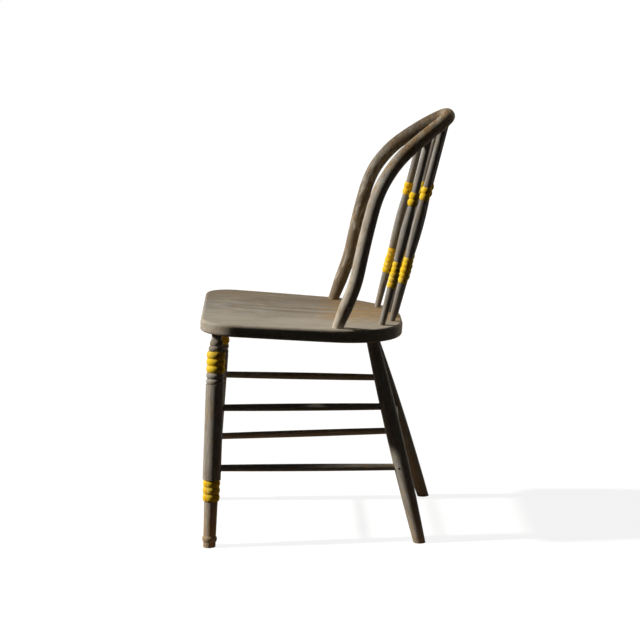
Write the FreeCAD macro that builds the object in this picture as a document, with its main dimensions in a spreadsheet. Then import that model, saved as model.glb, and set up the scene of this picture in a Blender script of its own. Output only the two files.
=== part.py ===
import FreeCAD, Part
import math
import os
import Sketcher
from FreeCAD import Placement, Rotation, Vector

# Hoop-back windsor kitchen chair, in millimetres.
# +Z is up, the floor is z = 0, the front is -Y and the sitter's left is +X.
# The origin lies on the floor under the middle of the whole chair.
# A setback is a distance behind the seat's front edge, an inset one ahead of its rear edge,
# and a reach one behind its rear edge.

doc = FreeCAD.newDocument("windsor_chair")


# Driving sizes
SIZES = [
    ("glue_gap", 0.1, "room for glue around and below each tenon"),
    # Seat
    ("seat_height", 462.6, "top of the front edge above the floor"),
    ("seat_slope", 4.63, "fall of the seat towards the back, degrees"),
    ("seat_depth", 409.6, "front edge to rear edge"),
    ("seat_front_width", 428.0, "across the front, before the corners are rounded"),
    ("seat_rear_width", 350.0, "across the back, before the corners are rounded"),
    ("seat_side_bulge", 6.0, "each side bows out this much half way along"),
    ("seat_front_thickness", 24.0, "the plank thins towards the front"),
    ("seat_rear_thickness", 27.6, "at the rear edge"),
    ("seat_front_corner", 62.0, "corner radius seen from above"),
    ("seat_rear_corner", 160.0, "corner radius seen from above"),
    ("seat_top_round", 6.0, "edge radius, top"),
    ("seat_under_round", 5.0, "edge radius, underside"),
    ("dish_width", 290.0, "shallow hollow for the sitter"),
    ("dish_depth", 4.0, "shallow hollow for the sitter"),
    ("dish_setback", 190.0, "middle of the hollow"),
    # Front legs
    ("front_foot_spread", 366.0, "between the feet's centres, on the floor"),
    ("left_front_foot_setback", 7.2, "on the floor"),
    ("right_front_foot_setback", -4.5, "on the floor; this leg rakes further forward"),
    ("front_leg_spread", 296.0, "between the sockets in the seat"),
    ("left_front_leg_setback", 33.5, "socket in the seat"),
    ("right_front_leg_setback", 38.5, "socket in the seat"),
    ("front_tenon_width", 20.0, "neck and tenon"),
    # Rear legs
    ("rear_foot_spread", 358.0, "between the feet's centres, on the floor"),
    ("left_rear_foot_reach", 21.2, "on the floor"),
    ("right_rear_foot_reach", 51.9, "on the floor; this leg rakes further back"),
    ("rear_leg_spread", 266.0, "between the sockets in the seat"),
    ("left_rear_leg_inset", 64.8, "socket in the seat"),
    ("right_rear_leg_inset", 68.4, "socket in the seat"),
    ("rear_foot_width", 24.0, "plain turned leg at the floor"),
    ("rear_leg_width", 32.0, "thickest, half way up"),
    ("rear_tenon_width", 24.0, "top and tenon"),
    ("leg_tenon", 18.0, "depth in the seat"),
    ("foot_below", 6.0, "turned length that is sawn off at the floor"),
    # Turning on the front legs, from the floor up
    ("foot_length", 9.6, "worn foot under the ankle ring"),
    ("foot_width", 25.0, ""),
    ("ankle_ring_length", 13.0, ""),
    ("ankle_ring_width", 30.0, ""),
    ("ankle_length", 71.0, "slim stretch above the ring"),
    ("ankle_low_width", 25.4, ""),
    ("ankle_top_width", 27.6, ""),
    ("low_bead_length", 14.4, "three painted beads below the shaft"),
    ("low_bead_width", 34.8, ""),
    ("low_groove_width", 31.0, ""),
    ("shaft_low_width", 36.6, ""),
    ("shaft_top_width", 36.6, ""),
    # Turning on the front legs, from the shaft up to the seat
    ("collar_length", 12.0, "two plain rings above the shaft"),
    ("collar_width", 36.4, ""),
    ("collar_groove_width", 32.0, ""),
    ("high_bead_length", 14.1, "three painted beads"),
    ("high_bead_width", 37.4, ""),
    ("high_groove_width", 33.0, ""),
    ("ball_length", 11.0, "plain bead above the painted ones"),
    ("ball_width", 30.4, ""),
    ("ball_groove_width", 25.0, ""),
    ("button_length", 13.0, "topmost bead"),
    ("button_width", 26.0, ""),
    ("neck_length", 18.0, "slim neck under the seat"),
    # Stretchers
    ("stretcher_width", 15.2, "at the middle"),
    ("stretcher_end_width", 13.6, "at the ends and tenons"),
    ("stretcher_tenon", 14.0, "straight end in the leg"),
    ("stretcher_stop", 2.5, "tenon ends this far from the leg's axis"),
    ("low_side_front_left", 159.2, "height on the front leg"),
    ("low_side_front_right", 142.5, "height on the front leg"),
    ("low_side_rear_left", 152.3, "height on the rear leg"),
    ("low_side_rear_right", 150.7, "height on the rear leg"),
    ("high_side_front_left", 280.7, "height on the front leg"),
    ("high_side_front_right", 281.6, "height on the front leg"),
    ("high_side_rear_left", 274.3, "height on the rear leg"),
    ("high_side_rear_right", 270.8, "height on the rear leg"),
    ("low_front_height", 205.0, "height on the front legs"),
    ("high_front_height", 305.0, "height on the front legs"),
    ("back_stretcher_height", 205.0, "height on the rear legs"),
    ("nail_shank_width", 1.8, "nail through the left rear leg's joint"),
    ("nail_head_width", 4.4, ""),
    ("nail_head_height", 1.2, ""),
    ("nail_length", 18.0, "shank, ends inside the stretcher"),
    ("nail_sink", 0.8, "the head's underside lies this far under the leg's widest surface"),
    ("nail_forward", 6.0, "ahead of the leg's axis"),
    # Bow
    ("bow_width", 27.4, "round section"),
    ("bow_foot_width", 22.0, "tapered end and tenon"),
    ("bow_taper", 44.0, "length of the tapered end above the seat"),
    ("bow_tenon", 19.0, "depth in the seat"),
    ("bow_roundness", 0.48, "share of a run that each bend takes at either end"),
    # Spindles
    ("outer_seat_spread", 208.0, "outer pair, in the seat"),
    ("inner_seat_spread", 104.0, "inner pair, in the seat"),
    ("outer_bow_spread", 170.0, "outer pair, in the bow"),
    ("inner_bow_spread", 101.0, "inner pair, in the bow"),
    ("spindle_inset", 15.6, "middle spindle, in the seat"),
    ("spindle_curve", 30.5, "outer spindles stand this far ahead of the middle one"),
    ("spindle_tenon", 17.0, "depth in the seat"),
    ("spindle_foot_width", 12.6, ""),
    ("spindle_low_width", 16.0, "under the lower beads"),
    ("spindle_shaft_width", 20.2, "thickest, between the two sets of beads"),
    ("spindle_shaft_end_width", 15.6, "next to the beads"),
    ("spindle_top_width", 14.6, "tenon in the bow"),
    ("spindle_top_length", 26.0, "straight top end, tenon included"),
    ("low_band_height", 77.2, "lower beads start this far above the seat"),
    ("band_bead_length", 10.7, "beads of the lower set"),
    ("big_bead_width", 20.2, "three lowest beads"),
    ("big_bead_groove", 17.4, ""),
    ("small_bead_width", 18.2, "two beads above them"),
    ("small_bead_groove", 15.8, ""),
    ("high_band_height", 247.0, "upper beads start this far above the seat"),
    ("band_lift", 5.0, "both sets sit this much higher on the middle spindle"),
    ("twin_lift", 6.0, "the upper set sits this much higher still"),
    ("twin_bead_length", 13.5, "two beads of the upper set"),
    ("twin_bead_width", 20.6, ""),
    ("twin_bead_groove", 16.8, ""),
]

# The bow's bends, from the seat up to the crown: half width, reach, and height above the
# seat's front edge of each corner that a bend rounds off. The first one is where the bow
# leaves the seat.
BOW_BENDS = [
    ("bow_seat", 168.0, -137.6, None),
    ("bow_shin", 186.4, -102.1, 67.4),
    ("bow_waist", 187.4, -81.1, 161.4),
    ("bow_shoulder", 172.5, -56.1, 247.9),
    ("bow_turn", 137.5, -14.6, 305.6),
    ("bow_sweep", 94.0, 45.4, 350.6),
    ("bow_crown", 45.0, 95.4, 381.2),
]

sizes = doc.addObject("Spreadsheet::Sheet", "sizes")
value = {}


def add_size(name, number, note):
    row = len(value) + 1
    sizes.set("A%d" % row, name)
    sizes.set("B%d" % row, str(number))
    sizes.setAlias("B%d" % row, name)
    sizes.set("C%d" % row, note)
    value[name] = number


for name, number, note in SIZES:
    add_size(name, number, note)
for name, half_width, reach, height in BOW_BENDS:
    add_size(name + "_out", half_width, "half width")
    add_size(name + "_back", reach, "reach")
    if height is not None:
        add_size(name + "_up", height, "height above the seat")
doc.recompute()

# Lengths that follow from the sizes
lengths = doc.addObject("App::VarSet", "lengths")


def add_length(name, number):
    lengths.addProperty("App::PropertyFloat", name)
    setattr(lengths, name, number)
    value[name] = number


def named(name):
    if hasattr(lengths, name):
        return "lengths." + name
    return "sizes." + name


# The origin lies under the middle of the chair's depth. Its foremost points are the front
# legs' ankle rings or the seat's lower edge, and its rearmost one is the back of the crown.
seat_turn = Rotation(Vector(1, 0, 0), -value["seat_slope"])


def thickness_at(setback):
    front = value["seat_front_thickness"]
    return front + (value["seat_rear_thickness"] - front) * setback / value["seat_depth"]


def ring_setback(side):
    leg_setback = value[side + "_front_leg_setback"]
    top = Vector(value["front_leg_spread"] / 2, leg_setback, -thickness_at(leg_setback))
    top = seat_turn.multVec(top) + Vector(0, 0, value["seat_height"])
    foot = Vector(value["front_foot_spread"] / 2, value[side + "_front_foot_setback"], 0)
    aim = (top - foot).normalize()
    middle = foot + aim * (value["foot_length"] + value["ankle_ring_length"] / 2)
    return middle.y - value["ankle_ring_width"] / 2 * math.hypot(aim.x, aim.z)


edge = value["seat_under_round"]
edge_setback = seat_turn.multVec(Vector(0, edge, edge - value["seat_front_thickness"])).y - edge
crown_setback = value["seat_depth"] + value["bow_crown_back"] + value["bow_width"] / 2
seat_front = -(min(ring_setback("left"), ring_setback("right"), edge_setback) + crown_setback) / 2
seat_place = Placement(Vector(0, seat_front, value["seat_height"]), seat_turn)


# Places
def on_floor(across, setback):
    return Vector(across, seat_front + setback, 0)


def on_seat(across, setback, below=0.0):
    return seat_place.multVec(Vector(across, setback, -below))


def at_height(low, high, height):
    return low + (high - low) * ((height - low.z) / (high.z - low.z))


def mirrored(point):
    return Vector(-point.x, point.y, point.z)


def beyond(point, towards, distance):
    return point + (towards - point).normalize() * distance


# Sketches
def origin_plane(body, role):
    for feature in body.Origin.OriginFeatures:
        if feature.Role == role:
            return feature
    raise ValueError("no plane " + role)


def new_sketch(body, name, role):
    sketch = body.newObject("Sketcher::SketchObject", name)
    sketch.AttachmentSupport = [(origin_plane(body, role), "")]
    sketch.MapMode = "FlatFace"
    return sketch


def bind(sketch, constraint, expression):
    index = sketch.addConstraint(constraint)
    sketch.setExpression("Constraints[%d]" % index, expression)


# A sketch's numbers for its origin and upright axis, and for an edge's two ends
ORIGIN, UPRIGHT = range(-1, -3, -1)
START, END = range(1, 3)


# A lathe-turned piece is a chain of segments from its lower end up: straight or tapered,
# a swell that reaches its crown width half way along, or a step to another width.
def straight(length, width):
    return {"length": length, "width": width}


def swell(length, width, crown):
    return {"length": length, "width": width, "crown": crown}


def step(width):
    return {"width": width}


def beads(count, length, groove, crown):
    return [step(groove)] + [swell(length, groove, crown) for _ in range(count)]


def swell_arc(start, end, rise):
    chord = end - start
    outward = Vector(chord.y, -chord.x, 0).normalize()
    return Part.Arc(start, (start + end) / 2 + outward * rise, end)


def swell_radius(length, before, after, crown):
    """The arc's radius as an expression, from its chord and its rise over the chord."""
    half_chord_squared = "(%s ^ 2 + ((%s - %s) / 2) ^ 2) / 4" % (length, after, before)
    rise = "((%s - (%s + %s) / 2) / 2)" % (crown, before, after)
    return "(%s + %s ^ 2) / (2 * %s)" % (half_chord_squared, rise, rise)


def turned(label, start_width, segments):
    """A body turned about its own Z axis, from z = 0 up."""
    body = doc.addObject("PartDesign::Body", label)
    sketch = new_sketch(body, label + "_outline", "XZ_Plane")
    corner = Vector(value[start_width] / 2, 0, 0)
    sketch.addGeometry(Part.LineSegment(Vector(0, 0, 0), corner))
    sketch.addConstraint(Sketcher.Constraint("Coincident", 0, START, ORIGIN, START))
    sketch.addConstraint(Sketcher.Constraint("Horizontal", 0))
    width_rule = Sketcher.Constraint("DistanceX", ORIGIN, START, 0, END, corner.x)
    bind(sketch, width_rule, named(start_width) + " / 2")
    width = start_width
    last = 0
    for segment in segments:
        run = value[segment["length"]] if "length" in segment else 0.0
        end = Vector(value[segment["width"]] / 2, corner.y + run, 0)
        if "crown" in segment:
            rise = value[segment["crown"]] / 2 - (corner.x + end.x) / 2
            index = sketch.addGeometry(swell_arc(corner, end, rise))
            radius = sketch.Geometry[index].Radius
            rule = swell_radius(*map(named, (segment["length"], width, segment["width"], segment["crown"])))
            bind(sketch, Sketcher.Constraint("Radius", index, radius), rule)
        else:
            index = sketch.addGeometry(Part.LineSegment(corner, end))
        sketch.addConstraint(Sketcher.Constraint("Coincident", last, END, index, START))
        width_rule = Sketcher.Constraint("DistanceX", ORIGIN, START, index, END, end.x)
        bind(sketch, width_rule, named(segment["width"]) + " / 2")
        if run:
            length_rule = Sketcher.Constraint("DistanceY", index, START, index, END, run)
            bind(sketch, length_rule, named(segment["length"]))
        else:
            sketch.addConstraint(Sketcher.Constraint("Horizontal", index))
        width = segment["width"]
        corner = end
        last = index
    top = sketch.addGeometry(Part.LineSegment(corner, Vector(0, corner.y, 0)))
    sketch.addConstraint(Sketcher.Constraint("Coincident", last, END, top, START))
    sketch.addConstraint(Sketcher.Constraint("Horizontal", top))
    sketch.addConstraint(Sketcher.Constraint("PointOnObject", top, END, UPRIGHT))
    axis = sketch.addGeometry(Part.LineSegment(Vector(0, corner.y, 0), Vector(0, 0, 0)))
    sketch.addConstraint(Sketcher.Constraint("Coincident", top, END, axis, START))
    sketch.addConstraint(Sketcher.Constraint("Coincident", axis, END, 0, START))
    turning = body.newObject("PartDesign::Revolution", label + "_turning")
    turning.Profile = sketch
    turning.ReferenceAxis = (sketch, ["V_Axis"])
    turning.Angle = 360
    body.Tip = turning
    return body


def stand(piece, foot, towards):
    """Stand a piece at foot, along the way to another point, its outline half way between
    the directions that sockets and nails come from."""
    across = Vector(1, 1, 1)
    piece.Placement = Placement(foot, Rotation(across, Vector(0, 0, 0), towards - foot, "ZXY"))
    return piece


# Sockets
def bore(label, width, bottom, towards, length):
    """The cutter for a round socket, from its bottom out past its mouth."""
    cutter = doc.addObject("Part::Cylinder", label)
    cutter.setExpression("Radius", "sizes.%s / 2 + sizes.glue_gap" % width)
    start = beyond(bottom, towards, -value["glue_gap"])
    cutter.Height = length + value["glue_gap"]
    return stand(cutter, start, towards)


pieces = []


def keep(piece, label):
    piece.Label = label
    pieces.append(piece)
    return piece


def cut(label, blank, cutters):
    tools = doc.addObject("Part::MultiFuse", label + "_cutters")
    tools.Shapes = cutters
    result = doc.addObject("Part::Cut", label)
    result.Base = blank
    result.Tool = tools
    return keep(result, label)


SIDES = (("left", 1), ("right", -1))

# Leg axes, from the floor to the underside of the seat
leg_axes = {}
for side, sign in SIDES:
    foot_setback = value[side + "_front_foot_setback"]
    leg_setback = value[side + "_front_leg_setback"]
    leg_axes["front", side] = (
        on_floor(sign * value["front_foot_spread"] / 2, foot_setback),
        on_seat(sign * value["front_leg_spread"] / 2, leg_setback, thickness_at(leg_setback)),
    )
    foot_setback = value["seat_depth"] + value[side + "_rear_foot_reach"]
    leg_setback = value["seat_depth"] - value[side + "_rear_leg_inset"]
    leg_axes["rear", side] = (
        on_floor(sign * value["rear_foot_spread"] / 2, foot_setback),
        on_seat(sign * value["rear_leg_spread"] / 2, leg_setback, thickness_at(leg_setback)),
    )

# Stretcher axes, from leg axis to leg axis
stretcher_axes = {}
for side, sign in SIDES:
    front = leg_axes["front", side]
    rear = leg_axes["rear", side]
    stretcher_axes["stretcher_%s_lower" % side] = (
        at_height(*front, value["low_side_front_" + side]),
        at_height(*rear, value["low_side_rear_" + side]),
    )
    stretcher_axes["stretcher_%s_upper" % side] = (
        at_height(*front, value["high_side_front_" + side]),
        at_height(*rear, value["high_side_rear_" + side]),
    )
for level, height in (("lower", "low_front_height"), ("upper", "high_front_height")):
    stretcher_axes["stretcher_front_" + level] = (
        at_height(*leg_axes["front", "left"], value[height]),
        at_height(*leg_axes["front", "right"], value[height]),
    )
stretcher_axes["stretcher_rear"] = (
    at_height(*leg_axes["rear", "left"], value["back_stretcher_height"]),
    at_height(*leg_axes["rear", "right"], value["back_stretcher_height"]),
)

leg_bores = {leg: [] for leg in leg_axes}


def leg_of(joint):
    """The leg whose axis passes through a stretcher's end."""
    for leg, (foot, top) in leg_axes.items():
        if joint.distanceToLine(foot, top - foot) < value["glue_gap"]:
            return leg
    raise ValueError("no leg at a stretcher's end")


# The nail in the left rear leg's lower joint, square to the chair's side
nail_leg = leg_axes["rear", "left"]
nail_joint = at_height(*nail_leg, value["low_side_rear_left"])
nail_reach = math.sqrt((value["rear_leg_width"] / 2) ** 2 - value["nail_forward"] ** 2)
nail_seat = nail_joint + Vector(nail_reach - value["nail_sink"], -value["nail_forward"], 0)
nail_point = nail_seat - Vector(value["nail_length"], 0, 0)
nail_outside = nail_seat + Vector(value["rear_leg_width"], 0, 0)


def nail_bores(label):
    shank = bore(label + "_nail_shank", "nail_shank_width", nail_point, nail_seat, value["nail_length"])
    head = doc.addObject("Part::Cylinder", label + "_nail_head")
    head.setExpression("Radius", "sizes.nail_head_width / 2 + sizes.glue_gap")
    head.setExpression("Height", "sizes.rear_leg_width")
    stand(head, nail_seat, nail_outside)
    return [shank, head]


def make_stretcher(label):
    start, end = stretcher_axes[label]
    first = beyond(start, end, value["stretcher_stop"])
    second = beyond(end, start, value["stretcher_stop"])
    length_name = label + "_length"
    add_length(length_name, (second - first).Length - 2 * value["stretcher_tenon"])
    blank = turned(
        label + "_turned",
        "stretcher_end_width",
        [
            straight("stretcher_tenon", "stretcher_end_width"),
            swell(length_name, "stretcher_end_width", "stretcher_width"),
            straight("stretcher_tenon", "stretcher_end_width"),
        ],
    )
    stand(blank, first, second)
    reach = value["rear_leg_width"]
    leg_bores[leg_of(start)].append(bore(label + "_bore_a", "stretcher_end_width", first, second, reach))
    leg_bores[leg_of(end)].append(bore(label + "_bore_b", "stretcher_end_width", second, first, reach))
    if label == "stretcher_left_lower":
        cut(label, blank, nail_bores(label))
    else:
        keep(blank, label)


def front_leg_segments(side):
    return (
        [
            straight("foot_below", "foot_width"),
            straight("foot_length", "foot_width"),
            swell("ankle_ring_length", "ankle_low_width", "ankle_ring_width"),
            straight("ankle_length", "ankle_top_width"),
        ]
        + beads(3, "low_bead_length", "low_groove_width", "low_bead_width")
        + [step("shaft_low_width"), straight("front_%s_shaft_length" % side, "shaft_top_width")]
        + beads(2, "collar_length", "collar_groove_width", "collar_width")
        + beads(3, "high_bead_length", "high_groove_width", "high_bead_width")
        + beads(1, "ball_length", "ball_groove_width", "ball_width")
        + [
            swell("button_length", "front_tenon_width", "button_width"),
            straight("neck_length", "front_tenon_width"),
            straight("leg_tenon", "front_tenon_width"),
        ]
    )


def turned_length(segments):
    return sum(value[segment["length"]] for segment in segments if "length" in segment)


def make_leg(row, side):
    label = "leg_%s_%s" % (row, side)
    foot, top = leg_axes[row, side]
    if row == "front":
        blank = turned(label + "_turned", "foot_width", front_leg_segments(side))
    else:
        blank = turned(
            label + "_turned",
            "rear_foot_width",
            [
                straight("foot_below", "rear_foot_width"),
                swell("rear_%s_length" % side, "rear_tenon_width", "rear_leg_width"),
                straight("leg_tenon", "rear_tenon_width"),
            ],
        )
    stand(blank, beyond(foot, top, -value["foot_below"]), top)
    floor = doc.addObject("Part::Cylinder", label + "_floor")
    floor.setExpression("Radius", "sizes.rear_leg_width")
    floor.setExpression("Height", "sizes.rear_leg_width")
    floor.Placement.Base = foot - Vector(0, 0, value["rear_leg_width"])
    cutters = [floor] + leg_bores[row, side]
    if (row, side) == ("rear", "left"):
        cutters += nail_bores(label)
    cut(label, blank, cutters)


# Bow
def bend_corner(name, half_width, reach, height):
    setback = value["seat_depth"] + reach
    if height is None:
        return on_seat(half_width, setback)
    return Vector(half_width, seat_front + setback, value["seat_height"] + height)


bow_side = [bend_corner(*bend) for bend in BOW_BENDS]
bow_foot = bow_side[0]
bow_start = beyond(bow_foot, bow_side[1], value["bow_taper"])
bow_root = beyond(bow_foot, bow_start, -value["bow_tenon"])
bow_ends = {"left": (bow_root, bow_start), "right": (mirrored(bow_root), mirrored(bow_start))}


def bent_path(corners, share):
    """Straight runs joined by arcs, each arc as large as its share of the shorter run."""
    edges = []
    last = corners[0]
    for before, corner, after in zip(corners, corners[1:], corners[2:]):
        reach = share * min(before.distanceToPoint(corner), corner.distanceToPoint(after))
        into = beyond(corner, before, reach)
        out = beyond(corner, after, reach)
        middle_way = (into + out) / 2
        half_turn = math.pi / 2 - (into - corner).getAngle(out - corner) / 2
        radius = reach / math.tan(half_turn)
        centre = beyond(corner, middle_way, radius / math.cos(half_turn))
        crest = beyond(centre, corner, radius)
        edges.append(Part.LineSegment(last, into).toShape())
        edges.append(Part.Arc(into, crest, out).toShape())
        last = out
    edges.append(Part.LineSegment(last, corners[-1]).toShape())
    return Part.Wire(edges)


bow_half = [bow_start] + bow_side[1:]
bow_path = doc.addObject("Part::Feature", "bow_path")
bow_path.Shape = bent_path(bow_half + [mirrored(corner) for corner in reversed(bow_half)], value["bow_roundness"])


def on_bow(across):
    """The point of the bow's centre line at a distance from the chair's middle plane."""
    reach = value["seat_height"] + value["bow_crown_up"]
    plane = Part.Plane(Vector(across, 0, 0), Vector(1, 0, 0)).toShape(-reach, reach, -reach, reach)
    return bow_path.Shape.distToShape(plane)[1][0][0]


def make_bow():
    section = doc.addObject("Part::Circle", "bow_section")
    section.setExpression("Radius", "sizes.bow_width / 2")
    stand(section, bow_start, bow_side[1])
    hoop = doc.addObject("Part::Sweep", "bow_hoop")
    hoop.Sections = [section]
    hoop.Spine = (bow_path, ["Edge%d" % (n + 1) for n in range(len(bow_path.Shape.Edges))])
    hoop.Solid = True
    hoop.Frenet = False
    parts = [hoop]
    for side, sign in SIDES:
        foot = turned(
            "bow_foot_" + side,
            "bow_foot_width",
            [straight("bow_tenon", "bow_foot_width"), straight("bow_taper", "bow_width")],
        )
        root, aim = bow_ends[side]
        stand(foot, root, aim)
        parts.append(foot)
    blank = doc.addObject("Part::MultiFuse", "bow_blank")
    blank.Shapes = parts
    cut("bow", blank, bow_bores)


# Spindles, with their places across the seat and across the bow
SPINDLES = [("spindle_middle", 0.0, 0.0)]
for side, sign in SIDES:
    for pair in ("inner", "outer"):
        across_seat = sign * value[pair + "_seat_spread"] / 2
        across_bow = sign * value[pair + "_bow_spread"] / 2
        SPINDLES.append(("spindle_%s_%s" % (pair, side), across_seat, across_bow))
bow_bores = []
seat_bores = []


def spindle_segments(label):
    return (
        [
            straight("spindle_tenon", "spindle_foot_width"),
            straight(label + "_low_length", "spindle_low_width"),
        ]
        + beads(3, "band_bead_length", "big_bead_groove", "big_bead_width")
        + beads(2, "band_bead_length", "small_bead_groove", "small_bead_width")
        + [
            step("spindle_shaft_end_width"),
            swell(label + "_shaft_length", "spindle_shaft_end_width", "spindle_shaft_width"),
        ]
        + beads(2, "twin_bead_length", "twin_bead_groove", "twin_bead_width")
        + [
            step("spindle_shaft_end_width"),
            straight(label + "_high_length", "spindle_top_width"),
            straight("spindle_top_length", "spindle_top_width"),
        ]
    )


def make_spindle(label, across_seat, across_bow):
    outward = (2 * across_seat / value["outer_seat_spread"]) ** 2
    setback = value["seat_depth"] - value["spindle_inset"] - value["spindle_curve"] * outward
    foot = on_seat(across_seat, setback)
    top = on_bow(across_bow)
    root = beyond(foot, top, -value["spindle_tenon"])
    between_bands = value["high_band_height"] - value["low_band_height"] - 5 * value["band_bead_length"]
    add_length(label + "_low_length", value["low_band_height"] + value["band_lift"] * (1 - outward))
    add_length(label + "_shaft_length", between_bands + value["twin_lift"] * (1 - outward))
    add_length(label + "_high_length", 0.0)
    rest = (top - root).Length - turned_length(spindle_segments(label))
    value[label + "_high_length"] = rest
    setattr(lengths, label + "_high_length", rest)
    keep(stand(turned(label + "_turned", "spindle_foot_width", spindle_segments(label)), root, top), label)
    seat_bores.append(bore(label + "_seat_bore", "spindle_foot_width", root, top, 2 * value["spindle_tenon"]))
    bow_bores.append(bore(label + "_bow_bore", "spindle_top_width", top, root, value["bow_width"]))


# Seat
def make_seat():
    body = doc.addObject("PartDesign::Body", "seat_plank")
    sketch = new_sketch(body, "seat_outline", "XY_Plane")
    front = value["seat_front_width"] / 2
    rear = value["seat_rear_width"] / 2
    depth = value["seat_depth"]
    bulge = value["seat_side_bulge"]
    corners = [Vector(-front, 0, 0), Vector(front, 0, 0), Vector(rear, depth, 0), Vector(-rear, depth, 0)]
    for index, corner in enumerate(corners):
        following = corners[(index + 1) % 4]
        side = swell_arc(corner, following, bulge) if index % 2 else Part.LineSegment(corner, following)
        sketch.addGeometry(side)
    for index in range(4):
        sketch.addConstraint(Sketcher.Constraint("Coincident", index, END, (index + 1) % 4, START))
    sketch.addConstraint(Sketcher.Constraint("Symmetric", 0, START, 0, END, ORIGIN, START))
    sketch.addConstraint(Sketcher.Constraint("Symmetric", 2, START, 2, END, UPRIGHT))
    bind(sketch, Sketcher.Constraint("DistanceX", 0, START, 0, END, 2 * front), "sizes.seat_front_width")
    bind(sketch, Sketcher.Constraint("DistanceX", 2, END, 2, START, 2 * rear), "sizes.seat_rear_width")
    bind(sketch, Sketcher.Constraint("DistanceY", 1, START, 1, END, depth), "sizes.seat_depth")
    taper = "(sizes.seat_front_width - sizes.seat_rear_width) / 2"
    half_chord_squared = "(sizes.seat_depth ^ 2 + (%s) ^ 2) / 4" % taper
    radius = "(%s + sizes.seat_side_bulge ^ 2) / (2 * sizes.seat_side_bulge)" % half_chord_squared
    for index in (1, 3):
        bind(sketch, Sketcher.Constraint("Radius", index, sketch.Geometry[index].Radius), radius)
    plank = body.newObject("PartDesign::Pad", "seat_pad")
    plank.Profile = sketch
    plank.setExpression("Length", "sizes.seat_rear_thickness")
    plank.Reversed = True
    slant = new_sketch(body, "seat_slant", "YZ_Plane")
    front_under = Vector(0, -value["seat_front_thickness"], 0)
    rear_under = Vector(depth, -value["seat_rear_thickness"], 0)
    below_front = Vector(0, -value["seat_rear_thickness"], 0)
    for start, end in ((front_under, rear_under), (rear_under, below_front), (below_front, front_under)):
        slant.addGeometry(Part.LineSegment(start, end))
    for index in range(3):
        slant.addConstraint(Sketcher.Constraint("Coincident", index, END, (index + 1) % 3, START))
    slant.addConstraint(Sketcher.Constraint("PointOnObject", 0, START, UPRIGHT))
    slant.addConstraint(Sketcher.Constraint("PointOnObject", 2, START, UPRIGHT))
    slant.addConstraint(Sketcher.Constraint("Horizontal", 1))
    bind(slant, Sketcher.Constraint("DistanceY", 0, START, ORIGIN, START, -front_under.y), "sizes.seat_front_thickness")
    bind(slant, Sketcher.Constraint("DistanceY", 2, START, ORIGIN, START, -below_front.y), "sizes.seat_rear_thickness")
    bind(slant, Sketcher.Constraint("DistanceX", ORIGIN, START, 0, END, depth), "sizes.seat_depth")
    thinned = body.newObject("PartDesign::Pocket", "seat_thinning")
    thinned.Profile = slant
    thinned.Type = "ThroughAll"
    thinned.Midplane = True
    doc.recompute()
    rounded = thinned
    for name, size, chosen in (
        ("seat_front_corners", "seat_front_corner", lambda box: box.YMax < depth / 2),
        ("seat_rear_corners", "seat_rear_corner", lambda box: box.YMin > depth / 2),
    ):
        upright = [
            "Edge%d" % (n + 1)
            for n, edge in enumerate(rounded.Shape.Edges)
            if edge.BoundBox.ZLength > value["seat_front_thickness"] / 2 and chosen(edge.BoundBox)
        ]
        fillet = body.newObject("PartDesign::Fillet", name)
        fillet.Base = (rounded, upright)
        fillet.setExpression("Radius", "sizes." + size)
        doc.recompute()
        rounded = fillet
    middle = -value["seat_front_thickness"] / 2
    for name, size, chosen in (
        ("seat_top_edge", "seat_top_round", lambda box: box.ZMin > middle),
        ("seat_under_edge", "seat_under_round", lambda box: box.ZMax < middle),
    ):
        rim = ["Edge%d" % (n + 1) for n, edge in enumerate(rounded.Shape.Edges) if chosen(edge.BoundBox)]
        fillet = body.newObject("PartDesign::Fillet", name)
        fillet.Base = (rounded, rim)
        fillet.setExpression("Radius", "sizes." + size)
        doc.recompute()
        rounded = fillet
    body.Tip = rounded
    body.Placement = seat_place
    ball = doc.addObject("Part::Sphere", "seat_dish")
    ball.setExpression("Radius", "(sizes.dish_width ^ 2 / 4 + sizes.dish_depth ^ 2) / (2 * sizes.dish_depth)")
    doc.recompute()
    above = ball.Radius.Value - value["dish_depth"]
    ball.Placement.Base = on_seat(0, value["dish_setback"], -above)
    cut("seat", body, [ball] + seat_bores)


for side, sign in SIDES:
    front_axis = leg_axes["front", side]
    rear_axis = leg_axes["rear", side]
    shaft_length = "front_%s_shaft_length" % side
    add_length(shaft_length, 0.0)
    whole = (front_axis[1] - front_axis[0]).Length + value["foot_below"] + value["leg_tenon"]
    value[shaft_length] = whole - turned_length(front_leg_segments(side))
    setattr(lengths, shaft_length, value[shaft_length])
    add_length("rear_%s_length" % side, (rear_axis[1] - rear_axis[0]).Length)

for label in stretcher_axes:
    make_stretcher(label)
for row, side in leg_axes:
    make_leg(row, side)
    foot, top = leg_axes[row, side]
    tenon_end = beyond(top, foot, -value["leg_tenon"])
    width = "front_tenon_width" if row == "front" else "rear_tenon_width"
    seat_bores.append(bore("seat_bore_%s_%s" % (row, side), width, tenon_end, foot, 2 * value["leg_tenon"]))
for label, across_seat, across_bow in SPINDLES:
    make_spindle(label, across_seat, across_bow)
for side, (root, aim) in bow_ends.items():
    seat_bores.append(bore("seat_bore_bow_" + side, "bow_foot_width", root, aim, value["bow_tenon"]))
make_bow()
make_seat()
nail = turned(
    "nail",
    "nail_shank_width",
    [
        straight("nail_length", "nail_shank_width"),
        step("nail_head_width"),
        straight("nail_head_height", "nail_shank_width"),
    ],
)
keep(stand(nail, nail_point, nail_seat), "stretcher_nail")

doc.recompute()

for thing in doc.Objects:
    if "Invalid" in thing.State or "Error" in thing.State:
        raise RuntimeError("%s did not build" % thing.Label)
for piece in pieces:
    if piece.Shape.isNull() or not piece.Shape.isValid() or len(piece.Shape.Solids) != 1:
        raise RuntimeError("%s is not one sound solid" % piece.Label)

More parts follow.
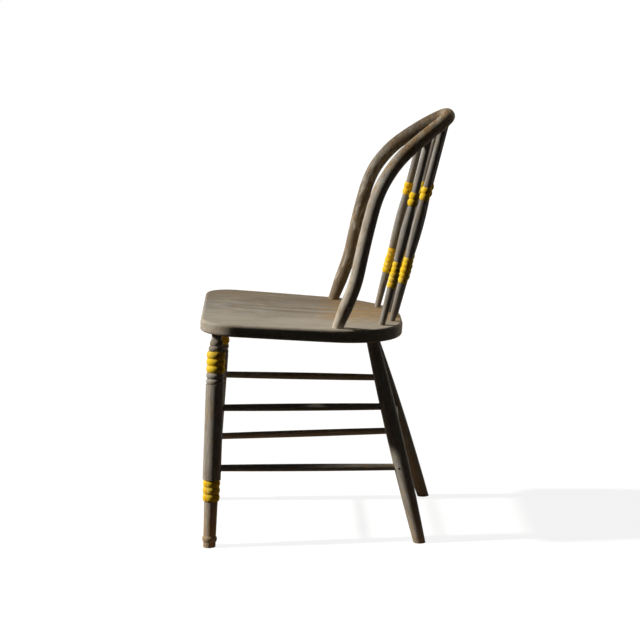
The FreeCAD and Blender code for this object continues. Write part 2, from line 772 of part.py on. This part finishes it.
os.makedirs("parts", exist_ok=True)
for piece in pieces:
    piece.Shape.exportStep("parts/%s.step" % piece.Label)
    print(piece.Label, round(piece.Shape.Volume / 1000.0, 1), "cm3")
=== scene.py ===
import math

import bpy
from mathutils import Matrix, Vector


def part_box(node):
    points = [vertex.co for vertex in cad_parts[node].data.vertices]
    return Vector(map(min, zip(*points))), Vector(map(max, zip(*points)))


# Paints the hoop-back chair's CAD pieces, and sets its floor, lamps and camera.
# Lengths are in metres: the floor is z = 0, the front is -Y and the sitter's left is +X.
# A setback is a distance behind the seat's front edge.

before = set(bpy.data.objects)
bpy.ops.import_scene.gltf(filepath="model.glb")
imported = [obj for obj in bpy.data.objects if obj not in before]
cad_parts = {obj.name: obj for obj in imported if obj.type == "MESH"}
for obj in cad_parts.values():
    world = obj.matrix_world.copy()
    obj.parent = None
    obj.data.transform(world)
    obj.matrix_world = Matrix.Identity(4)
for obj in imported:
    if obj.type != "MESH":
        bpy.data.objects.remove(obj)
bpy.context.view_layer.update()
scene = bpy.context.scene


# ---------------------------------------------------------------- the seat's top
SEAT_FRONT = -0.250384                  # y of the front edge
SEAT_HEIGHT = 0.4626                    # top of the front edge
SEAT_SLOPE = math.radians(4.63)         # falls towards the back


def on_seat(across, setback, below=0.0):
    """A point of the seat's top, or so far below it."""
    back = setback * math.cos(SEAT_SLOPE) - below * math.sin(SEAT_SLOPE)
    rise = -setback * math.sin(SEAT_SLOPE) - below * math.cos(SEAT_SLOPE)
    return Vector((across, SEAT_FRONT + back, SEAT_HEIGHT + rise))


# ---------------------------------------------------------------- camera
PHOTO_SIZE = 640.0                      # pixels, both ways
FOCAL_LENGTH = 2136.3                   # in the photograph's pixels
SENSOR = 36.0                           # millimetres
ROLL = -0.0144024                       # radians

eye = Vector((4.3339, -0.077184, 1.2244))
look = Vector((-0.98334, 0.015029, -0.18115)).normalized()
level = look.cross(Vector((0, 0, 1))).normalized()
upright = level.cross(look)
right = level * math.cos(ROLL) + upright * math.sin(ROLL)
top = upright * math.cos(ROLL) - level * math.sin(ROLL)
turned = Matrix((right, top, -look)).transposed().to_4x4()
camera = bpy.data.objects.new("camera", bpy.data.cameras.new("camera"))
camera.data.sensor_width = SENSOR
camera.data.lens = SENSOR * FOCAL_LENGTH / PHOTO_SIZE
camera.data.clip_end = 50.0
camera.matrix_world = Matrix.Translation(eye) @ turned
scene.collection.objects.link(camera)
scene.camera = camera
scene.view_settings.view_transform = "Standard"


# ---------------------------------------------------------------- node helpers
SPECULAR = 0.12                         # old paint and rust hardly shine
MIX_FACTOR, MIX_A, MIX_B, MIX_RESULT = 0, 6, 7, 2   # sockets of a Mix node for colours


class Nodes:
    """The nodes of a material or of the world, with arithmetic on their sockets.

    What is given to a node may be a number or the output of another node."""

    def __init__(self, tree):
        self.tree = tree
        tree.nodes.clear()

    def plug(self, socket, given):
        if isinstance(given, bpy.types.NodeSocket):
            self.tree.links.new(given, socket)
        else:
            socket.default_value = given

    def add(self, kind, **inputs):
        """A new node. An underscore in an input's name stands for a space."""
        node = self.tree.nodes.new(kind)
        for name, given in inputs.items():
            self.plug(node.inputs[name.replace("_", " ")], given)
        return node

    def math(self, operation, a, b=0.0):
        node = self.tree.nodes.new("ShaderNodeMath")
        node.operation = operation
        self.plug(node.inputs[0], a)
        self.plug(node.inputs[1], b)
        return node.outputs[0]

    def total(self, first, *others):
        """A sum, added up from left to right."""
        for other in others:
            first = self.math("ADD", first, other)
        return first

    def times(self, a, b):
        return self.math("MULTIPLY", a, b)

    def swing(self, texture, much):
        """A texture that lies about 0.5, as a rise and fall about 0."""
        return self.times(self.math("SUBTRACT", texture, 0.5), much)

    def ramp(self, value, low, high, to_low=0.0, to_high=1.0):
        """A smooth step, from to_low where the value is low to to_high where it is high."""
        node = self.add("ShaderNodeMapRange", Value=value, From_Min=low, From_Max=high,
                        To_Min=to_low, To_Max=to_high)
        node.interpolation_type = "SMOOTHSTEP"
        return node.outputs["Result"]

    def within(self, value, low, high, soft=0.0004):
        """1 between low and high and 0 outside them, with soft ends."""
        return self.times(self.ramp(value, low - soft, low + soft),
                          self.ramp(value, high + soft, high - soft))

    def vector(self, operation, a, b=(0, 0, 0)):
        node = self.tree.nodes.new("ShaderNodeVectorMath")
        node.operation = operation
        self.plug(node.inputs[0], a)
        self.plug(node.inputs[1], b)
        return node.outputs["Value" if operation in ("DOT_PRODUCT", "LENGTH") else "Vector"]

    def scaled(self, vector, factors):
        return self.vector("MULTIPLY", vector, factors)

    def combine(self, x, y, z):
        return self.add("ShaderNodeCombineXYZ", X=x, Y=y, Z=z).outputs[0]

    def split(self, vector):
        return self.add("ShaderNodeSeparateXYZ", Vector=vector).outputs

    def position(self):
        """Where a point is. Every CAD node's object sits at the origin."""
        return self.add("ShaderNodeTexCoord").outputs["Object"]

    def noise(self, vector, scale, detail=3.0, rough=0.55, warp=0.0):
        return self.add("ShaderNodeTexNoise", Vector=vector, Scale=scale, Detail=detail,
                        Roughness=rough, Distortion=warp).outputs["Fac"]

    def mix(self, amount, a, b, blend="MIX"):
        """Colour a with so much of colour b over it."""
        node = self.tree.nodes.new("ShaderNodeMix")
        node.data_type = "RGBA"
        node.blend_type = blend
        node.clamp_factor = True
        self.plug(node.inputs[MIX_FACTOR], amount)
        for socket, given in ((node.inputs[MIX_A], a), (node.inputs[MIX_B], b)):
            self.plug(socket, given + (1.0,) if isinstance(given, tuple) else given)
        return node.outputs[MIX_RESULT]

    def surface(self, colour, roughness, height, strength, distance):
        """The material's shader, with a relief of the given height."""
        bump = self.add("ShaderNodeBump", Height=height, Strength=strength, Distance=distance)
        shader = self.add("ShaderNodeBsdfPrincipled", Base_Color=colour, Roughness=roughness,
                          Specular_IOR_Level=SPECULAR, Normal=bump.outputs[0])
        self.add("ShaderNodeOutputMaterial", Surface=shader.outputs[0])

    def seen_or_not(self, unseen, seen):
        """One shader for the camera and for reflections, another for all other rays."""
        rays = self.add("ShaderNodeLightPath").outputs
        reflected = self.math("MAXIMUM", rays["Is Glossy Ray"], rays["Is Transmission Ray"])
        direct = self.math("MAXIMUM", rays["Is Camera Ray"], reflected)
        choice = self.tree.nodes.new("ShaderNodeMixShader")
        for socket, given in zip(choice.inputs, (direct, unseen, seen)):
            self.plug(socket, given)
        return choice.outputs[0]


def new_material(name):
    material = bpy.data.materials.new(name)
    material.use_nodes = True
    return material, Nodes(material.node_tree)


def dress(node, material):
    """Puts the material in each slot of a CAD node."""
    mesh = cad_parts[node].data
    for index in range(max(1, len(mesh.materials))):
        if index < len(mesh.materials):
            mesh.materials[index] = material
        else:
            mesh.materials.append(material)


# ---------------------------------------------------------------- paint
GREY = (0.36, 0.335, 0.285)
COOL = (0.35, 0.35, 0.345)
PALE = (0.56, 0.51, 0.43)
UMBER = (0.24, 0.185, 0.125)
TAN = (0.44, 0.285, 0.13)
BARE = (0.22, 0.125, 0.055)
SOOT = (0.03, 0.026, 0.022)
OCHRE = (0.97, 0.63, 0.015)
OCHRE_PALE = (0.98, 0.74, 0.12)
OCHRE_DEEP = (0.78, 0.32, 0.008)
YELLOWED = (1.0, 0.985, 0.95)           # the whole coat, with age
RELIEF = 0.0008                         # of brush marks, flakes and dust


def paint(n, place, grain, wear, dirt_and_painted_shade, cool=0.0, bands=None, rough=0.70, stain=0.0, shade=0.0,
          mottled=0.3, tone=1.0):
    """Old brushed grey paint over wood.

    place is a position in metres, and grain one that is stretched along the wood's fibres.
    wear is how far the paint has gone, dirt_and_painted_shade how much soot and painted shade
    lie on it, cool how bluish it is, bands where the ochre is, rough its roughness, stain how
    brown it has turned, shade the painted light that pales it above 0 and the painted shade
    that darkens it below 0, mottled how uneven, and tone how bright the whole coat is."""
    # Textures, in place first, then along the grain
    cloud = n.noise(place, 9.0, 4.0, 0.6)
    blotch = n.noise(place, 42.0, 4.0, 0.62)
    speck = n.noise(place, 420.0, 3.0, 0.6)
    patch = n.noise(n.scaled(grain, (0.34, 0.34, 2.2)), 1.0, 3.0, 0.6, 0.8)
    streak = n.noise(n.scaled(grain, (0.34, 0.34, 0.55)), 1.0, 4.0, 0.62, 0.5)
    fibre = n.noise(grain, 1.0, 5.0, 0.65, 0.4)
    fine = n.noise(n.scaled(grain, (3.1, 3.1, 3.1)), 1.0, 3.0, 0.6)

    # The coat: grey that shifts in clouds, blotches, brush streaks and patches
    colour = n.mix(n.ramp(n.total(cloud, cool), 0.38, 0.66), GREY, COOL)
    colour = n.mix(n.ramp(blotch, 0.48, 0.72, 0.0, 0.5), colour, PALE)
    colour = n.mix(n.ramp(streak, 0.50, 0.61, 0.0, 0.65), colour, UMBER)
    colour = n.mix(n.ramp(streak, 0.47, 0.36, 0.0, 0.55), colour, PALE)
    colour = n.mix(n.ramp(fibre, 0.51, 0.66, 0.0, 0.45), colour, TAN)
    colour = n.mix(n.ramp(n.total(stain, n.swing(streak, 1.6)), 0.25, 0.95), colour, TAN)
    # Painted light pales the coat where shade is above 0, and painted shade darkens it where
    # shade is below 0
    colour = n.mix(n.ramp(shade, 0.0, 1.0, 0.0, 0.8), colour, PALE)
    colour = n.mix(n.ramp(shade, 0.0, -1.0, 0.0, 0.8), colour, UMBER)
    colour = n.mix(n.times(n.ramp(patch, 0.49, 0.63), mottled), colour, UMBER)
    colour = n.mix(n.times(n.ramp(patch, 0.46, 0.36), mottled), colour, PALE)
    colour = n.mix(1.0, colour, tuple(tone * share for share in YELLOWED), "MULTIPLY")
    height = n.total(n.times(fibre, 0.5), n.times(fine, 0.25), n.times(streak, 0.5))

    # Ochre over it
    if bands is not None:
        thin = n.ramp(streak, 0.48, 0.70)
        ochre = n.mix(n.ramp(blotch, 0.42, 0.70), OCHRE, OCHRE_PALE)
        ochre = n.mix(n.times(thin, 0.6), ochre, OCHRE_DEEP)
        colour = n.mix(bands, colour, ochre)
        height = n.total(height, n.times(bands, 0.15))

    # Where it is rubbed thin, and where it is gone down to the wood
    chip = n.total(wear, n.swing(blotch, 1.5), n.swing(fibre, 1.3))
    rubbed = n.ramp(chip, 0.34, 0.52)
    gone = n.ramp(chip, 0.52, 0.60)
    wood = n.mix(n.ramp(fine, 0.35, 0.65), BARE, TAN)
    colour = n.mix(n.times(rubbed, 0.6), colour, TAN)
    colour = n.mix(gone, colour, wood)

    # Soot and painted shade, and dark flecks
    soot_and_painted_shade = n.total(dirt_and_painted_shade, n.swing(cloud, 0.5), n.swing(speck, 0.5))
    colour = n.mix(n.ramp(soot_and_painted_shade, 0.2, 1.0, 0.0, 0.85), colour, SOOT)
    fleck = n.total(wear, n.swing(speck, 2.1))
    colour = n.mix(n.ramp(fleck, 0.52, 0.66, 0.0, 0.85), colour, SOOT)

    height = n.total(height, n.times(gone, -0.6), n.times(speck, 0.12))
    shine = n.total(n.times(blotch, 0.22), rough - 0.11, n.times(gone, 0.12))
    n.surface(colour, shine, height, 0.7, RELIEF)


# ---------------------------------------------------------------- turned pieces
TURNED_GRAIN = (520.0, 520.0, 16.0)     # across, across and along the piece
BRUSH_WANDER = 0.0016                   # of the ochre's edges
GROOVE_DEPTH = 0.0018                   # over which the painted shade in a groove deepens
TURNED_STAIN = 0.1
ALL_ALONG = (-1.0, 2.0)                 # a stretch that hardly fades on a whole piece


def along_axis(n, foot, head):
    """Position from the foot, the same in the piece's own directions, of which the last
    runs to its head, the distance from its axis, and the distance along it."""
    run = (head - foot).normalized()
    first = run.orthogonal().normalized()
    second = run.cross(first)
    here = n.vector("SUBTRACT", n.position(), tuple(foot))
    a, b, along = (n.vector("DOT_PRODUCT", here, tuple(d)) for d in (first, second, run))
    out = n.math("SQRT", n.total(n.times(a, a), n.times(b, b)))
    return here, n.combine(a, b, along), out, along


def turned_material(name, foot, head, seed, bands=(), grooves=(), worn=(), stained=(),
                    wear=0.12, dirt_and_painted_shade=0.0, cool=0.0, tone=1.0):
    """Paint on a piece that is turned about the line from foot to head.

    Each band is a stretch of ochre. Each groove is a stretch and the radius under which
    painted shade darkens it. Each worn or stained entry is a stretch and what it adds at its
    start, which fades to nothing at its end. They are distances from the foot."""
    material, n = new_material(name)
    here, own, out, along = along_axis(n, foot, head)
    place = n.vector("ADD", here, (seed, seed * 0.7, seed * 1.3))
    grain = n.scaled(n.vector("ADD", own, (seed, seed, seed)), TURNED_GRAIN)
    brushed = n.total(along, n.swing(n.noise(place, 160.0, 2.0), BRUSH_WANDER))
    painted = None
    for low, high in bands:
        band = n.within(brushed, low, high)
        painted = band if painted is None else n.math("MAXIMUM", painted, band)
    for low, high, much in worn:
        wear = n.total(wear, n.ramp(along, low, high, much, 0.0))
    stain = TURNED_STAIN
    for low, high, much in stained:
        stain = n.total(stain, n.ramp(along, low, high, much, 0.0))
    # Painted shade darkens each groove where the piece is thin
    for low, high, radius in grooves:
        groove_shade = n.times(n.within(along, low, high), n.ramp(out, radius, radius - GROOVE_DEPTH))
        dirt_and_painted_shade = n.total(dirt_and_painted_shade, n.times(groove_shade, 0.5))
    paint(n, place, grain, wear, dirt_and_painted_shade, cool, painted, stain=stain, tone=tone)
    return material


# ---------------------------------------------------------------- legs
FRONT_FOOT_OUT, FRONT_HEAD_OUT = 0.183, 0.148       # from the chair's middle
REAR_FOOT_OUT, REAR_HEAD_OUT = 0.179, 0.133
FRONT_PLANK, REAR_PLANK = 0.0243, 0.027             # the seat's thickness over the legs
NECK, BUTTON, BALL = 0.018, 0.013, 0.011            # turned lengths from the seat down
LOW_BEADS = (0.0936, 0.1368)
LOW_GROOVES = (0.091, 0.1395, 0.0174)
HIGH_BEADS = 0.0423                                 # their length
COLLAR_FOOT, BUTTON_TOP = 0.067, 0.025              # below and above the painted beads' top
COLLAR_RADIUS = 0.0182
LEGS = (  # label, side, setbacks of the front leg's foot and head, and of the rear leg's
    ("left", 1, 0.0072, 0.0335, 0.4308, 0.3448),
    ("right", -1, -0.0045, 0.0385, 0.4615, 0.3412),
)
for label, side, front_foot, front_head, rear_foot, rear_head in LEGS:
    foot = Vector((side * FRONT_FOOT_OUT, SEAT_FRONT + front_foot, 0.0))
    head = on_seat(side * FRONT_HEAD_OUT, front_head, FRONT_PLANK)
    high = (head - foot).length - NECK - BUTTON - BALL
    dress("leg_front_" + label, turned_material(
        "leg_front_" + label, foot, head, seed=3.0 * side,
        bands=(LOW_BEADS, (high - HIGH_BEADS, high)),
        grooves=(LOW_GROOVES, (high - COLLAR_FOOT, high + BUTTON_TOP, COLLAR_RADIUS)),
        worn=((0.004, 0.030, 0.30),), stained=((0.0, 0.16, 0.55),), wear=0.16))
    foot = Vector((side * REAR_FOOT_OUT, SEAT_FRONT + rear_foot, 0.0))
    head = on_seat(side * REAR_HEAD_OUT, rear_head, REAR_PLANK)
    dress("leg_rear_" + label, turned_material(
        "leg_rear_" + label, foot, head, seed=5.0 * side,
        worn=((0.0, 0.05, 0.24),), stained=((0.0, 0.05, 0.3), (*ALL_ALONG, -0.1)),
        wear=0.16, tone=0.9))

# ---------------------------------------------------------------- spindles
OUTERMOST = 0.104                       # from the chair's middle, in the seat
MIDDLE_SETBACK = 0.394
CURVE = 0.0305                          # the outer ones stand this far ahead of the middle
TENON_BACK, TENON_TOP = 0.0071, 0.0017  # from the box's top rear corner to the axis's end
BEAD_SETS = (  # height, lift on the middle spindle, length of the ochre, end of the painted shade
    (0.0772, 0.005, 0.0535, 0.056),
    (0.247, 0.011, 0.027, 0.029),
)
BEAD_MARGIN = 0.002                     # painted shade below the first bead
BEAD_RADIUS = 0.0088
SPINDLES = (  # label, and the distance from the chair's middle in the seat and in the bow
    ("outer_left", 0.104, 0.085),
    ("inner_left", 0.052, 0.0505),
    ("middle", 0.0, 0.0),
    ("inner_right", -0.052, -0.0505),
    ("outer_right", -0.104, -0.085),
)
for index, (label, in_seat, in_bow) in enumerate(SPINDLES):
    node = "spindle_" + label
    outward = (in_seat / OUTERMOST) ** 2
    foot = on_seat(in_seat, MIDDLE_SETBACK - CURVE * outward)
    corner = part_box(node)[1]
    head = Vector((in_bow, corner.y - TENON_BACK, corner.z - TENON_TOP))
    bands, grooves = [], []
    for height, lift, ochre_length, shade_length in BEAD_SETS:
        start = height + lift * (1 - outward)
        bands.append((start, start + ochre_length))
        grooves.append((start - BEAD_MARGIN, start + shade_length, BEAD_RADIUS))
    dress(node, turned_material(
        node, foot, head, seed=7.0 + 2.3 * index, bands=bands, grooves=grooves,
        stained=((*ALL_ALONG, -0.12),), wear=0.08, dirt_and_painted_shade=0.12, cool=0.24, tone=0.84))

# ---------------------------------------------------------------- stretchers
STRETCHERS = (  # node and seed
    ("stretcher_left_upper", 21.0), ("stretcher_left_lower", 24.0),
    ("stretcher_right_upper", 27.0), ("stretcher_right_lower", 31.0),
    ("stretcher_front_upper", 35.0), ("stretcher_front_lower", 38.0),
    ("stretcher_rear", 41.0),
)
for node, seed in STRETCHERS:
    low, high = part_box(node)
    size = high - low
    centre = (low + high) / 2
    run = Vector((1, 0, 0)) if size.x > size.y else Vector((0, 1, 0))
    reach = run * max(size) / 2
    dress(node, turned_material(
        node, centre - reach, centre + reach, seed=seed, wear=0.15, dirt_and_painted_shade=0.2, tone=0.85))

# ---------------------------------------------------------------- seat
SEAT_GRAIN = (230.0, 230.0, 9.0)        # across, up and back
SEAT_LINES = (95.0, 95.0, 9.0)
SEAT_EDGE = 0.4615                      # height where the front edge starts to round off

material, n = new_material("seat")
place = n.position()
x, y, z = n.split(place)
setback = n.math("SUBTRACT", y, SEAT_FRONT)
fibres = n.combine(x, z, y)
lines = n.noise(n.scaled(fibres, SEAT_LINES), 1.0, 4.0, 0.6, 0.6)
# Brown shows in lines behind the middle
behind = n.times(n.ramp(setback, 0.20, 0.30), n.ramp(x, 0.16, 0.02))
brown = n.times(behind, n.ramp(lines, 0.40, 0.53, 0.2, 1.5))
# The left (near) side is paled with painted light and the right (far) side darkened with
# painted shade; the front edge is paler, partly worn and partly a painted highlight
front = n.times(n.ramp(setback, 0.075, 0.03), n.ramp(z, SEAT_EDGE, 0.452))
painted_light_and_shade = n.total(n.ramp(x, -0.21, 0.20, -0.95, 1.0), n.times(front, 0.8))
edge = n.times(n.ramp(z, SEAT_EDGE, 0.455), n.ramp(setback, 0.12, 0.05, 0.0, 0.16))
worn = n.total(n.times(behind, 0.16), 0.08, edge)
paint(n, place, n.scaled(fibres, SEAT_GRAIN), worn, dirt_and_painted_shade=0.0, cool=-0.04, rough=0.76,
      stain=brown, shade=painted_light_and_shade, mottled=0.2, tone=0.87)
dress("seat", material)

# ---------------------------------------------------------------- bow
BOW_GRAIN = (330.0, 330.0, 12.0)        # out, back and along the bow
SPRING = 0.68                           # height where its limbs turn into the arch
ARCH = 0.17                             # the arch's radius
LEAN = 0.4                              # how far back it leans for its height

material, n = new_material("bow")
place = n.position()
x, y, z = n.split(place)
# The bow's own directions: up the limbs, then round the arch
out = n.math("ABSOLUTE", x)
rise = n.math("MAXIMUM", n.math("SUBTRACT", z, SPRING), 0.0)
turn = n.math("ARCTAN2", rise, out)
reach = n.math("SQRT", n.total(n.times(out, out), n.times(rise, rise)))
path = n.total(n.math("MINIMUM", z, SPRING), n.times(turn, ARCH))
own = n.combine(reach, n.math("SUBTRACT", y, n.times(z, LEAN)), path)
# The crown is worn, brown and sooty; the left (near) limb is paled with painted light, and
# the right (far) one darkened with painted shade
crown = n.ramp(z, 0.70, 0.80)
worn = n.total(n.times(crown, 0.22), 0.19)
brown = n.total(n.times(crown, 0.40), 0.22)
dirt_and_painted_shade = n.total(n.times(crown, 0.50), n.ramp(x, 0.08, -0.10, 0.0, 0.36))
painted_light_and_shade = n.times(n.ramp(z, 0.74, 0.60), n.ramp(x, -0.1, 0.1, -0.9, 0.9))
paint(n, place, n.scaled(own, BOW_GRAIN), worn, dirt_and_painted_shade, rough=0.68, stain=brown,
      shade=painted_light_and_shade, mottled=n.ramp(x, -0.05, 0.12, 1.0, 0.5))
dress("bow", material)

# ---------------------------------------------------------------- nail
RUST_DARK = (0.03, 0.022, 0.018)
RUST_RED = (0.09, 0.035, 0.015)

material, n = new_material("nail")
rust = n.noise(n.position(), 900.0, 4.0, 0.6)
colour = n.mix(n.ramp(rust, 0.4, 0.65), RUST_DARK, RUST_RED)
n.surface(colour, n.ramp(rust, 0.3, 0.7, 0.55, 0.85), rust, 0.6, 0.0003)
dress("stretcher_nail", material)

# ---------------------------------------------------------------- floor and world
FLOOR_REACH = 30.0                      # from its middle to its edges
FLOOR_GLOW = 0.88                       # leaves room for the shadow under white
FEET_OUT, FEET_BACK = 0.19, 0.23        # half the rectangle that the feet stand on
FEET_MIDDLE = -0.02                     # y of its middle
BOUNCE_REACH = 0.16                     # from the feet to where the floor's colour ends
BOUNCE = (0.29, 0.18, 0.10)             # warm light that the floor gives back to the feet
BLACK = (0.0, 0.0, 0.0)
SHADOWED = (0.22, 0.22, 0.22, 1.0)
WHITE = (1.0, 1.0, 1.0, 1.0)
SKY = (0.80, 0.88, 1.0, 1.0)
SKY_STRENGTH = 0.006


def floor_material():
    """White to the eye, with a soft shadow, and dark to the chair away from its feet."""
    material, n = new_material("floor")
    x, y, _ = n.split(n.position())
    beside = n.math("SUBTRACT", n.math("ABSOLUTE", x), FEET_OUT)
    beyond = n.math("SUBTRACT", n.math("ABSOLUTE", n.total(y, -FEET_MIDDLE)), FEET_BACK)
    outside = n.combine(n.math("MAXIMUM", beside, 0.0), n.math("MAXIMUM", beyond, 0.0), 0.0)
    near = n.ramp(n.vector("LENGTH", outside), 0.0, BOUNCE_REACH, 1.0, 0.02)
    bounce = n.add("ShaderNodeBsdfDiffuse", Color=n.mix(near, BLACK, BOUNCE))
    shadowed = n.add("ShaderNodeBsdfDiffuse", Color=SHADOWED)
    glow = n.add("ShaderNodeEmission", Color=WHITE, Strength=FLOOR_GLOW)
    lit = n.tree.nodes.new("ShaderNodeAddShader")
    n.plug(lit.inputs[0], shadowed.outputs[0])
    n.plug(lit.inputs[1], glow.outputs[0])
    chosen = n.seen_or_not(bounce.outputs[0], lit.outputs[0])
    n.add("ShaderNodeOutputMaterial", Surface=chosen)
    return material


mesh = bpy.data.meshes.new("floor")
mesh.from_pydata([(FLOOR_REACH * i, FLOOR_REACH * j, 0)
                  for i, j in ((-1, -1), (1, -1), (1, 1), (-1, 1))], [], [(0, 1, 2, 3)])
mesh.materials.append(floor_material())
floor = bpy.data.objects.new("floor", mesh)
scene.collection.objects.link(floor)

world = bpy.data.worlds.new("world")
world.use_nodes = True
scene.world = world
n = Nodes(world.node_tree)
sky = n.add("ShaderNodeBackground", Color=SKY, Strength=SKY_STRENGTH)
white = n.add("ShaderNodeBackground", Color=WHITE, Strength=1.0)
n.add("ShaderNodeOutputWorld", Surface=n.seen_or_not(sky.outputs[0], white.outputs[0]))


# ---------------------------------------------------------------- lamps
def sun(name, towards, strength, degrees, colour, glossy=True):
    """A sun that stands towards the given direction and looks so many degrees wide."""
    lamp = bpy.data.lights.new(name, "SUN")
    lamp.energy = strength
    lamp.angle = math.radians(degrees)
    lamp.color = colour
    holder = bpy.data.objects.new(name, lamp)
    holder.rotation_euler = Vector(towards).to_track_quat("Z", "Y").to_euler()
    holder.visible_glossy = glossy
    scene.collection.objects.link(holder)


sun("key", (0.012, -0.83, 0.56), 4.2, 2.5, (1.0, 0.96, 0.90))
sun("fill", (-0.86, 0.50, 0.10), 1.3, 5.0, (0.92, 0.96, 1.0), glossy=False)
